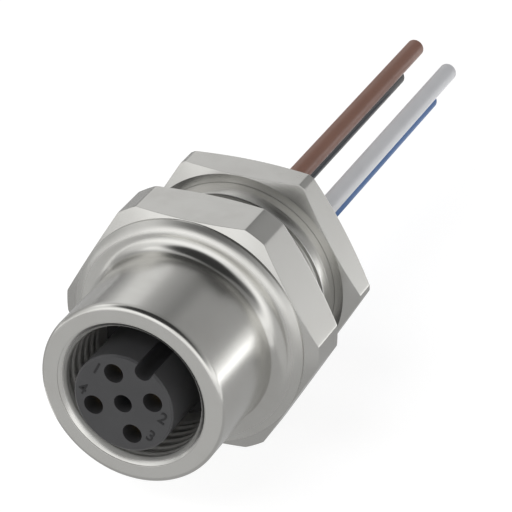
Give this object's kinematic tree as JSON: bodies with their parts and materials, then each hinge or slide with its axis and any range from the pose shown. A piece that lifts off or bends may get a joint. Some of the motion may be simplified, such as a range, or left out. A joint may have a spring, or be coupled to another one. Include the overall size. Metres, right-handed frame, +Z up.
{
  "type": "flange connector",
  "caption": "Round panel connector with a threaded socket nose, hexagon flange, lock nut on a threaded tail and coloured leads.",
  "frame": {"origin": "on the axis, in the plane of the hexagon's rear face, which seats on the panel", "axes": "+Y along the axis towards the leads, -Y out of the mating face, +Z up with a flat of the hexagon above and below"},
  "size_m": [0.021, 0.0592, 0.019],
  "materials": {
    "nickel_body": "nickel plated, polished",
    "nickel_nut": "nickel plated, fine brushed",
    "seal_rubber": "matt",
    "carrier_plastic": "fine moulded",
    "casting_resin": "cast, glossy",
    "contact_gold": "gold plated",
    "copper_strand": "bare stranded copper",
    "brown_sleeve": "extruded, satin",
    "white_sleeve": "extruded, satin",
    "blue_sleeve": "extruded, satin",
    "black_sleeve": "extruded, satin"
  },
  "bodies": {
    "connector": {"shell": "nickel_body", "panel_seal": "seal_rubber", "contact_carrier": "carrier_plastic", "carrier_seal": "seal_rubber", "potting": "casting_resin", "contact_1": "contact_gold", "contact_2": "contact_gold", "contact_3": "contact_gold", "contact_4": "contact_gold", "brown_insulation": "brown_sleeve", "brown_conductor": "copper_strand", "white_insulation": "white_sleeve", "white_conductor": "copper_strand", "blue_insulation": "blue_sleeve", "blue_conductor": "copper_strand", "black_insulation": "black_sleeve", "black_conductor": "copper_strand"},
    "nut": {"lock_nut": "nickel_nut"}
  },
  "joints": [
    {"name": "nut_travel", "type": "slide", "parent": "connector", "child": "nut", "axis": [0, 1, 0], "range_m": [-0.0037, 0.03]}
  ]
}
